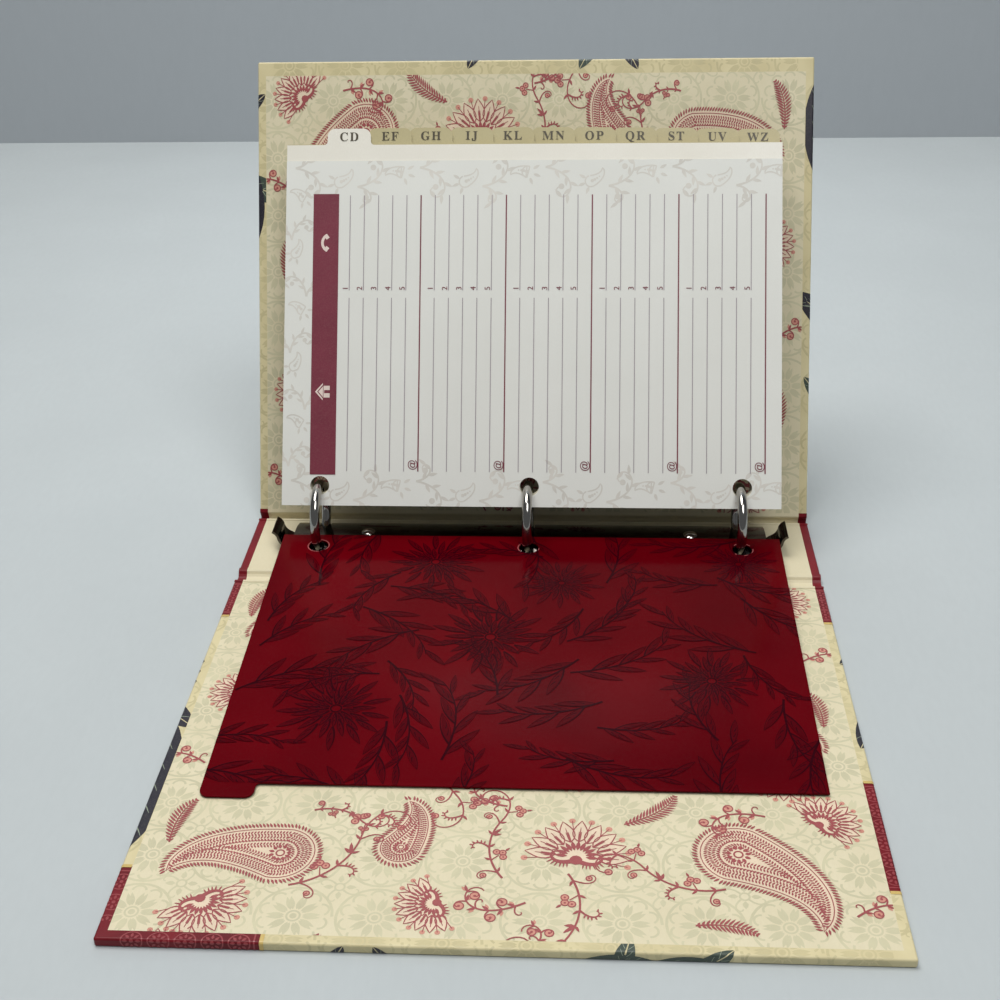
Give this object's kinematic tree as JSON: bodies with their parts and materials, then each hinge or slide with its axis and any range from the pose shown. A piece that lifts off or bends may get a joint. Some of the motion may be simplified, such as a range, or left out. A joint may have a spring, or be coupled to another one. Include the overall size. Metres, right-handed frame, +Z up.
{
  "type": "address book",
  "caption": "Open ring-bound address book: stiff printed covers hinged to a spine, a chrome ring mechanism with end levers, ruled leaves and tabbed index dividers.",
  "frame": {"origin": "centre of the spine's outer face, on the table", "axes": "+X along the spine to the right of a reader at the front cover, +Y from front cover to back cover, +Z up"},
  "size_m": [0.1906, 0.2687, 0.144],
  "materials": {
    "cover_print": "printed paper with a satin film",
    "endpaper_print": "matt printed paper",
    "grey_board": "raw board",
    "chrome_steel": "bright plated",
    "blade_steel": "plain rolled",
    "leaf_paper": "smooth writing paper",
    "divider_red": "glossy coated card",
    "divider_white": "glossy coated card",
    "divider_tan": "satin coated card"
  },
  "bodies": {
    "spine": {"spine_board": "grey_board", "spine_wrap": "cover_print", "spine_liner": "endpaper_print", "ring_cover_plate": "chrome_steel", "mounting_rivets": "chrome_steel"},
    "front_cover": {"front_cover_board": "grey_board", "front_cover_wrap": "cover_print", "front_endpaper": "endpaper_print"},
    "back_cover": {"back_cover_board": "grey_board", "back_cover_wrap": "cover_print", "back_endpaper": "endpaper_print"},
    "turned_divider": {"divider_ab": "divider_red"},
    "page_block": {"divider_cd": "divider_white", "divider_ef": "divider_tan", "divider_gh": "divider_tan", "divider_ij": "divider_tan", "divider_kl": "divider_tan", "divider_mn": "divider_tan", "divider_op": "divider_tan", "divider_qr": "divider_tan", "divider_st": "divider_tan", "divider_uv": "divider_tan", "divider_wz": "divider_tan", "leaf_ab": "leaf_paper", "leaf_cd": "leaf_paper", "leaf_ef": "leaf_paper", "leaf_gh": "leaf_paper", "leaf_ij": "leaf_paper", "leaf_kl": "leaf_paper", "leaf_mn": "leaf_paper", "leaf_op": "leaf_paper", "leaf_qr": "leaf_paper", "leaf_st": "leaf_paper", "leaf_uv": "leaf_paper", "leaf_wz": "leaf_paper"},
    "front_rings": {"front_blade": "blade_steel", "front_half_ring_left": "chrome_steel", "front_half_ring_middle": "chrome_steel", "front_half_ring_right": "chrome_steel"},
    "rear_rings": {"rear_blade": "blade_steel", "rear_half_ring_left": "chrome_steel", "rear_half_ring_middle": "chrome_steel", "rear_half_ring_right": "chrome_steel"},
    "left_trigger": {"left_trigger": "chrome_steel"},
    "right_trigger": {"right_trigger": "chrome_steel"}
  },
  "joints": [
    {"name": "front_cover_hinge", "type": "hinge", "parent": "spine", "child": "front_cover", "pos_m": [0, -0.02, 0.00025], "axis": [-1, 0, 0], "range_deg": [0, 90]},
    {"name": "turned_divider_turn", "type": "hinge", "parent": "spine", "child": "turned_divider", "pos_m": [0, 0, 0.0136], "axis": [-1, 0, 0], "range_deg": [0, 90]},
    {"name": "back_cover_hinge", "type": "hinge", "parent": "spine", "child": "back_cover", "pos_m": [0, 0.02, 0.00025], "axis": [1, 0, 0], "range_deg": [-64, 26]},
    {"name": "page_block_turn", "type": "hinge", "parent": "spine", "child": "page_block", "pos_m": [0, 0, 0.0136], "axis": [1, 0, 0], "range_deg": [-62, 25.2]},
    {"name": "front_rings_open", "type": "hinge", "parent": "spine", "child": "front_rings", "pos_m": [0, -0.00878, 0.00415], "axis": [1, 0, 0], "range_deg": [0, 6]},
    {"name": "rear_rings_open", "type": "hinge", "parent": "spine", "child": "rear_rings", "pos_m": [0, 0.00878, 0.00415], "axis": [-1, 0, 0], "range_deg": [0, 6]},
    {"name": "left_trigger_press", "type": "hinge", "parent": "spine", "child": "left_trigger", "pos_m": [-0.0782, 0, 0.0032], "axis": [0, -1, 0], "range_deg": [0, 18]},
    {"name": "right_trigger_press", "type": "hinge", "parent": "spine", "child": "right_trigger", "pos_m": [0.0782, 0, 0.0032], "axis": [0, 1, 0], "range_deg": [0, 18]}
  ],
  "couplings": [
    {"joint": "turned_divider_turn", "follows": "front_cover_hinge", "ratio": 1},
    {"joint": "page_block_turn", "follows": "back_cover_hinge", "ratio": 0.966},
    {"joint": "rear_rings_open", "follows": "front_rings_open", "ratio": 1},
    {"joint": "left_trigger_press", "follows": "front_rings_open", "ratio": 3},
    {"joint": "right_trigger_press", "follows": "front_rings_open", "ratio": 3}
  ]
}
